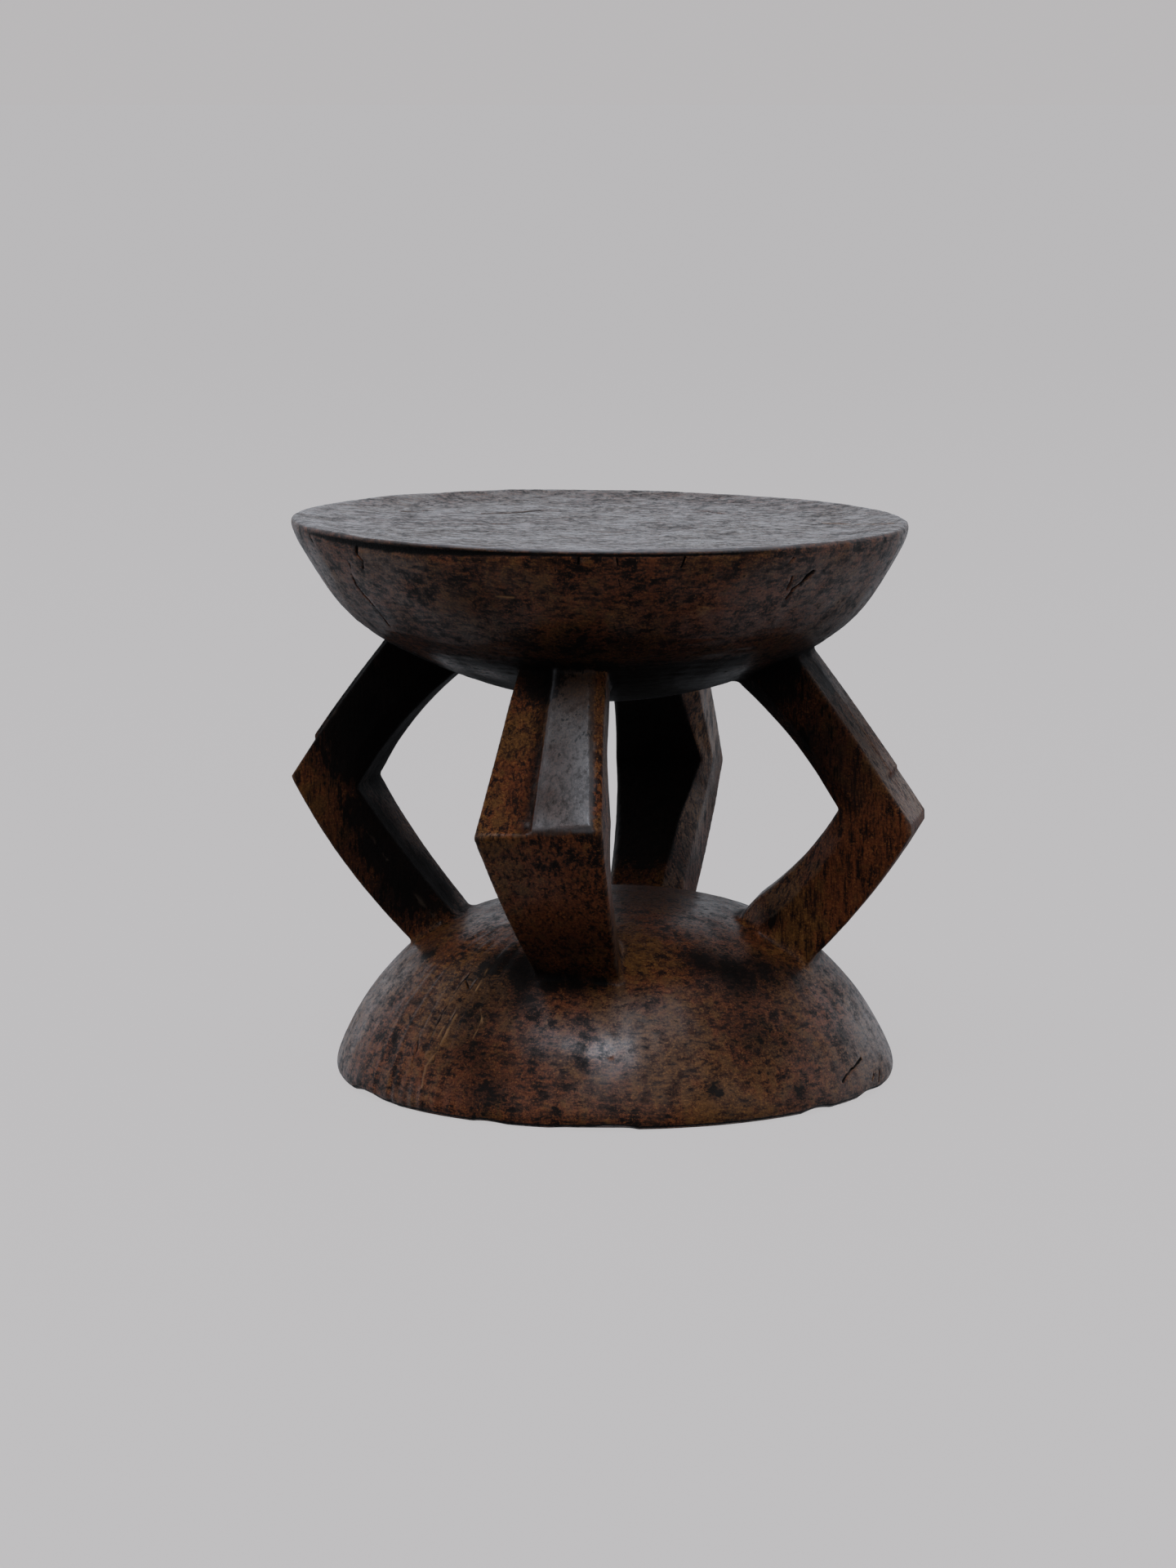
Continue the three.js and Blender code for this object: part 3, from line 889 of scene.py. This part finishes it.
# The rear leg's side, which is rubbed clean.
REAR_SIDE = [
    ((0.062, 0.115, 0.235), 0.040, 1.0), ((0.075, 0.140, 0.190), 0.045, 1.0),
    ((0.062, 0.115, 0.140), 0.035, 0.8),
]
# The front leg's knee, which is rubbed glossy.
RUBBED_KNEE = [((-0.050, -0.165, 0.150), 0.030, 1.0)]
# Where the wax gleams.
GLEAMING = [
    ((-0.118, -0.120, 0.297), 0.040, 1.35), ((0.098, -0.140, 0.305), 0.036, 1.35),
    ((-0.133, -0.058, 0.054), 0.036, 1.0), ((-0.003, -0.155, 0.042), 0.040, 0.5),
    ((-0.070, -0.044, 0.097), 0.026, 0.8), ((0.142, -0.060, 0.040), 0.030, 0.8),
    ((-0.036, -0.150, 0.046), 0.018, 0.6), ((0.040, -0.020, 0.104), 0.040, 0.6),
]
# Where it is rubbed dull.
DULL = [
    ((-0.073, -0.115, 0.062), 0.030, 1.0), ((-0.078, -0.134, 0.030), 0.028, 0.9),
    ((0.020, -0.105, 0.085), 0.028, 0.9), ((0.000, -0.165, 0.292), 0.036, 0.3),
    ((0.085, -0.105, 0.068), 0.032, 0.6), ((-0.100, -0.070, 0.074), 0.022, 0.7),
]


def patches(places):
    """How strongly those patches lie on each corner of the skin, with the block stood upright."""
    total = np.zeros(len(upright))
    for centre, size, force in places:
        gap = np.linalg.norm(upright - np.array(centre), axis=1)
        total = np.maximum(total, force * np.exp(-((gap / size) ** 2)))
    return total


# A corner that stands out that far is worn, and one that lies that deep is darkened with dirt and
# painted shade.
SMOOTHER_ROUNDS = 60
WORN_EDGE = (0.25 * MM, 0.8 * MM)
DIRT_AND_SHADE_HOLLOW = (0.4 * MM, 2.0 * MM)

points, normals = read_points()
stands_out = ((points - eased(points, ROUNDER_ROUNDS)) * normals).sum(1)
lies_deep = -((points - eased(points, SMOOTHER_ROUNDS)) * normals).sum(1)
keep_on_skin("worn", rise(evened(stands_out, 1), *WORN_EDGE))
keep_on_skin("hollow_dirt_shade", rise(lies_deep, *DIRT_AND_SHADE_HOLLOW))

# Bowl, dome and top, which are round, are told from the legs by their distance from the axis and
# by the way that they face. Heights are in metres.
OFF_ROUND = (2 * MM, 5 * MM)
KNEE_HEIGHT = 0.17
TOP_HEIGHT = 0.318
BOWL_BOTTOM = (0.222, 0.236)
DOME_TOP = (0.100, 0.112)

upright = points + points[:, 2:] * (BLOCK_SLOPE, 0, 0)
reach = np.hypot(upright[:, 0], upright[:, 1])
height = upright[:, 2]
radial_out = (normals[:, :2] * upright[:, :2]).sum(1) / reach
bowl_gap = np.abs(reach - section_radius(BOWL_SIDE, height / MM) * MM)
dome_gap = np.abs(reach - section_radius(DOME_SIDE, height / MM) * MM)
off_round = np.where(height > KNEE_HEIGHT, bowl_gap, dome_gap)
on_top = rise(normals[:, 2], 0.7, 0.9) * (height > TOP_HEIGHT)
bowl_bottom = rise(height, *BOWL_BOTTOM) * rise(-normals[:, 2], 0.6, 0.8)
dome_top = (1 - rise(height, *DOME_TOP)) * rise(normals[:, 2], 0.6, 0.8)
is_turned = np.maximum.reduce([1 - rise(off_round, *OFF_ROUND), on_top, bowl_bottom, dome_top])
keep_on_skin("turned", is_turned)
keep_on_skin("top", on_top)

# Stains, painted shade and rubbed places. The bowl's underside is darkened with soot and painted
# shade, less so beside the legs. The right leg's upper limb is bare on its outer face.
SOOT_AND_SHADE_FADE = (0.254, 0.276)
SHADE_FADE = (0.262, 0.305)
UPPER_LIMB = 0.15
RIGHT_LEG_FROM = 0.05

on_bowl = (height > BOWL_ABOVE * MM) * is_turned
on_rear_side = patches(REAR_SIDE) * rise(normals[:, 0], 0.2, 0.5) * (1 - is_turned)
may_darken = (1 - on_top) * (1 - np.clip(on_rear_side * 1.2, 0, 0.9))
under_bowl = on_bowl * (1 - patches(TOOL_MARKED) * 0.8) * 0.8
soot_and_shade_under = (1 - rise(height, *SOOT_AND_SHADE_FADE)) * under_bowl
shade_under = (1 - rise(height, *SHADE_FADE)) * under_bowl
upper_outer = rise(radial_out, 0.3, 0.6) * rise(normals[:, 2], 0.2, 0.5)
upper_outer *= (height > UPPER_LIMB) * (1 - is_turned)
bare = upper_outer * (upright[:, 0] > RIGHT_LEG_FROM)
keep_on_skin("rusty", patches(RUSTY))
keep_on_skin("soot_and_shade", np.maximum(patches(SOOT_AND_SHADE_PATCHES) * 0.7, soot_and_shade_under) * may_darken)
keep_on_skin("golden", np.maximum.reduce([patches(GOLDEN), on_rear_side * 1.3, bare * 0.95]))

# The front leg, as its ridge has a shine of its own: places along its upper limb, 0 at the knee
# and 1 at the seat, and across its outer face, -1 and 1 at the edges.
RIDGE_MARGIN = 0.06
BAND_WIDTH = 0.40
LEAD_FROM_AXIS = 0.11

lead = LEGS[0]
lead_turn = math.radians(lead["azimuth"])
lead_out = np.array([math.cos(lead_turn), math.sin(lead_turn)])
lead_across = np.array([-math.sin(lead_turn), math.cos(lead_turn)])
knee_height = lead["outer"]["knee"][1]
limb_height = lead["outer"]["seat"][1] - knee_height
along = (height / MM - knee_height) / limb_height


def along_lead(size):
    """A size of the front leg at each corner's place along its upper limb."""
    return size["knee"] + (size["seat"] - size["knee"]) * along


sideways = upright[:, :2] @ lead_across / MM - lead["shift"]["seat"] * along
across = sideways / (along_lead(lead["width"]) / 2)
ridge_left = along_lead(RIDGE_LEFT)
ridge_right = along_lead(RIDGE_RIGHT)
ridge_part = (across - ridge_left) / (ridge_right - ridge_left)
facing_out = normals @ np.array([*(lead_out * 0.8), 0.6])
on_lead = (facing_out > 0.6) * (upright[:, :2] @ lead_out > LEAD_FROM_AXIS)
on_lead = on_lead * (along > 0) * (along < 1.1)
on_ridge = (across > ridge_left - RIDGE_MARGIN) * (across < ridge_right + RIDGE_MARGIN) * on_lead
# Painted shadow in the band along the ridge's left side.
beside_ridge = rise(across, ridge_left - BAND_WIDTH, ridge_left - 0.04) * (across < ridge_left)
band_shade = on_lead * (1 - on_ridge) * beside_ridge * 0.85
shaded = np.maximum(patches(SHADED), shade_under) * may_darken
keep_on_skin("shade", np.maximum(shaded, band_shade))
keep_on_skin("silver", evened(on_ridge, 1))

# The polish of handling: strong on what is round, weak on the legs but for the faces that hands
# and feet rub, and on the ridge strongest along its left edge, low down and at its low right.
LOWER_LIMB = (0.095, 0.19)
LEFT_LEG_TO = -0.05

facing_in = rise(-radial_out, 0.05, 0.3) * rise(normals[:, 2], 0.1, 0.4)
lower_limb = (height > LOWER_LIMB[0]) * (height < LOWER_LIMB[1])
polish = 0.12 + 0.68 * is_turned + 0.2 * on_top
polish += facing_in * lower_limb * (upright[:, 0] > LEFT_LEG_TO) * (1 - is_turned) * 0.6
polish += upper_outer * 0.45 + on_rear_side * 0.8
polish += patches(RUBBED_KNEE) * (1 - is_turned) * 0.45
low_right = rise(ridge_part, 0.55, 0.85) * (1 - rise(along, 0.40, 0.70))
ridge_spots = [1 - rise(ridge_part, 0.02, 0.16), low_right, 1 - rise(along, 0.06, 0.16)]
ridge_shine = 0.55 + 0.10 * (1 - rise(along, 0.5, 1.0)) + 0.40 * np.maximum.reduce(ridge_spots)
polish = np.where(on_lead, np.where(on_ridge, ridge_shine, 0.0), polish)
polish *= 0.85 + 0.20 * on_top + 0.60 * patches(GLEAMING) - 0.45 * patches(DULL)

# A grey gleam is painted as highlight on the lip's upper edge, brightest round its front, and on the
# ridge's left and lower edges.
LIP_FROM = (0.3318, 0.3330)
LIP_REACH = (0.1780, 0.1800)

on_lip = rise(height + upright[:, 0] * SEAT_SLOPE, *LIP_FROM) * rise(reach, *LIP_REACH)
on_lip *= 0.25 + 0.75 * rise(-upright[:, 1] / reach, 0.70, 0.95)
ridge_edges = [1 - rise(ridge_part, 0.03, 0.09), low_right * 0.6, 1 - rise(along, 0.05, 0.08)]
ridge_edge = on_ridge * np.maximum.reduce(ridge_edges) * (ridge_part > 0) * (along > 0.04)
keep_on_skin("painted_gleam", np.maximum(on_lip, evened(ridge_edge * 0.6, 1)))
keep_on_skin("polish", evened(np.maximum(polish, on_lip), 1))

# The wood itself: nearly black where smoke and grease have soaked in, reddish brown below it where
# it is rubbed, with upright fibres, the rings that the bowl and dome cut through, and a waxy shine.
NIGHT_BROWN = (0.0100, 0.0042, 0.0028, 1)
DARK_BROWN = (0.090, 0.0265, 0.0080, 1)
RED_BROWN = (0.215, 0.0510, 0.0130, 1)
GOLD_BROWN = (0.190, 0.0690, 0.0150, 1)
FLECK_ORANGE = (0.38, 0.150, 0.034, 1)
GOLD_LIGHT = (0.27, 0.108, 0.021, 1)
BARE_WOOD = (0.42, 0.200, 0.075, 1)
PAINTED_GLEAM_GREY = (0.28, 0.270, 0.275, 1)
RIDGE_BROWN = (0.040, 0.0240, 0.0170, 1)
RUBBED_GREY = (0.150, 0.100, 0.070, 1)
SOOT_AND_SHADE_BLACK = (0.0026, 0.0018, 0.0015, 1)

wood = bpy.data.materials.new("dark worn wood")
wood.use_nodes = True
wood.node_tree.nodes.clear()
grain = Wire(wood.node_tree)
place = grain.node("TexCoord", {}, {}, "Object")
east = grain.node("SeparateXYZ", {}, {0: place}, 0)
north = grain.node("SeparateXYZ", {}, {0: place}, 1)
up = grain.node("SeparateXYZ", {}, {0: place}, 2)
from_pith = (east * east + north * north) ** 0.5


def noise(laid, settings, size_mm, detail, rough):
    """Uneven values from 0 to 1 over those coordinates."""
    values = {**laid, "Scale": 1000 / size_mm, "Detail": detail, "Roughness": rough}
    return grain.node("TexNoise", settings, values)


def fleck(size_mm, stretch=(1, 1, 1), detail=4.0, rough=0.6):
    """Uneven values from 0 to 1 whose lumps are about that many millimetres across."""
    laid = grain.node("Mapping", {}, {"Vector": place, "Scale": stretch})
    return noise({"Vector": laid}, {}, size_mm, detail, rough)


def streak(size_mm, run, detail=4.0, rough=0.6):
    """The same, drawn out round the pith into streaks that follow the bowl and the dome."""
    direction = {0: east / from_pith * run, 1: north / from_pith * run, 2: up}
    laid = {"Vector": grain.node("CombineXYZ", {}, direction), "W": from_pith}
    return noise(laid, {"noise_dimensions": "4D"}, size_mm, detail, rough)


def skin_value(name):
    """An attribute that keep_on_skin has left on the skin."""
    return grain.node("Attribute", {"attribute_name": name}, {}, "Fac")


worn = skin_value("worn")
hollow_dirt_shade = skin_value("hollow_dirt_shade")
joint = skin_value("joint")
crack = skin_value("crack")
groove = skin_value("groove")
is_turned = skin_value("turned")
rusty = skin_value("rusty")
soot_and_shade = skin_value("soot_and_shade")
shade = skin_value("shade")
polish = skin_value("polish")
silver = skin_value("silver")
top = skin_value("top")
golden = skin_value("golden")
painted_gleam = skin_value("painted_gleam")
pale = skin_value("pale")
foot = skin_value("foot")
cloud = fleck(60, detail=3.0)
blotch = fleck(24, (1, 1, 0.7), 5.0, 0.62)
mottle = fleck(7, (1, 1, 0.7), 4.0, 0.66)
speck = fleck(1.4, detail=3.0, rough=0.8)
fibre = fleck(2.4, (1, 1, 0.12), 3.0, 0.7)
contour = streak(3.0, 0.060, 3.0, 0.75)
lay = fibre + is_turned * (1 - top) * (contour - fibre)
hair = 1 - (streak(9, 0.030, 2.0) - 0.5).math("ABSOLUTE").ramp(0.0, 0.011)
hair_cross = 1 - (fleck(11, (1, 1, 0.4), 2.0) - 0.5).math("ABSOLUTE").ramp(0.0, 0.009)
scratch = (hair * is_turned + hair_cross * 0.8) * blotch.ramp(0.46, 0.56)

warm = (cloud * 0.6 + mottle * 0.4).ramp(0.46, 0.57).blend(RED_BROWN, GOLD_BROWN)
brown_share = (cloud * 0.2 + blotch * 0.35 + mottle * 0.25 + lay * 0.2).ramp(0.430, 0.530)
tone = brown_share.blend(NIGHT_BROWN, DARK_BROWN)
red_share = (mottle * 0.4 + speck * 0.25 + lay * 0.35 + rusty * 0.08).ramp(0.455, 0.575)
tone = red_share.blend(tone, warm)
golden_share = (golden * 0.9 + lay * 1.2 + speck * 0.6 + mottle * 0.8 - 1.95).ramp(0.0, 0.5) * 0.75
tone = golden_share.blend(tone, GOLD_LIGHT)
fleck_share = (speck * 0.8 + lay * 0.2 + rusty * 0.04).ramp(0.57, 0.68) * 0.65
tone = fleck_share.blend(tone, FLECK_ORANGE)
pits = (speck * 0.15 + lay * 0.85).ramp(0.45, 0.37) * 0.65
tone = pits.blend(tone, NIGHT_BROWN)
fine_grain = (speck * 0.45 + lay * 0.55).ramp(0.59, 0.43) * 0.55
tone = fine_grain.blend(tone, NIGHT_BROWN)
tone = (scratch * 0.7).blend(tone, NIGHT_BROWN)
tone = (silver * 0.8).blend(tone, RIDGE_BROWN)
# Painted shade darkens the wood towards near black.
tone = (shade * (0.75 + mottle * 0.4)).blend(tone, NIGHT_BROWN)
# Soot stains and painted shade under the bowl and on the shaded legs turn near black.
soot_shade_share = (soot_and_shade * 1.9 + lay * 2.6 + mottle * 2.0 + blotch * 1.2 - 3.50).ramp(0.0, 0.45) * 0.96
tone = soot_shade_share.blend(tone, SOOT_AND_SHADE_BLACK)
# Darkened: dirt and painted shade in hollows, dark joints and cracks, painted shadow in the groove
# under the lip and a painted contact shadow along the foot.
dirt_and_shade = hollow_dirt_shade * 0.4 + joint * 0.05 + crack + groove * 0.8 + foot * 1.2
grime_and_shade = (dirt_and_shade + mottle * 0.8 - 0.5).ramp(0.0, 0.5) * (1 - painted_gleam)
tone = grime_and_shade.blend(tone, SOOT_AND_SHADE_BLACK)
worn_share = (worn * (0.2 + mottle * 0.8)).ramp(0.3, 0.8) * 0.3
tone = worn_share.blend(tone, RUBBED_GREY)
tone = (top * 0.35).blend(tone, NIGHT_BROWN)
# Painted highlight: a grey gleam on the lip and on the ridge's edges.
tone = (painted_gleam * 0.6).blend(tone, PAINTED_GLEAM_GREY)
tone = (pale * 0.9).blend(tone, BARE_WOOD)

sheen = fleck(48, detail=3.0).ramp(0.40, 0.58)
wax = (blotch * 0.2 + mottle * 0.3 + lay * 0.3 + speck * 0.2).ramp(0.39, 0.55)
across_seat = fleck(4.5, (0.28, 1, 1), 3.0, 0.7)
top_streak = (across_seat * 0.6 + mottle * 0.2 + blotch * 0.2).ramp(0.43, 0.57)
evenness = 0.60 + sheen * (1 - top) * 0.55 + top * (0.34 + top_streak * 0.50)
shine_left = (1 - soot_shade_share * 0.6) * (1 - grime_and_shade) * (1 - joint * 0.6) * (1 - shade * 0.85)
shine = polish * (0.15 + wax * 0.85) * evenness * shine_left
roughness = 0.60 - wax * 0.12 + soot_shade_share * 0.2 + shade * 0.3
relief = mottle * 0.9 + lay * 0.8 + speck * 0.45
bumped = grain.node("Bump", {}, {"Strength": 0.7, "Distance": 0.0015, "Height": relief})
surface = grain.node(
    "BsdfPrincipled",
    {},
    {
        "Base Color": tone,
        "Roughness": roughness,
        "Normal": bumped,
        "Specular IOR Level": 0.08,
        "Coat Weight": shine,
        "Coat Roughness": 0.26,
    },
)
grain.node("OutputMaterial", {}, {"Surface": surface})
stool.data.materials.clear()
stool.data.materials.append(wood)

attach(stool, "root")
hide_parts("stool")

low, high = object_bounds()
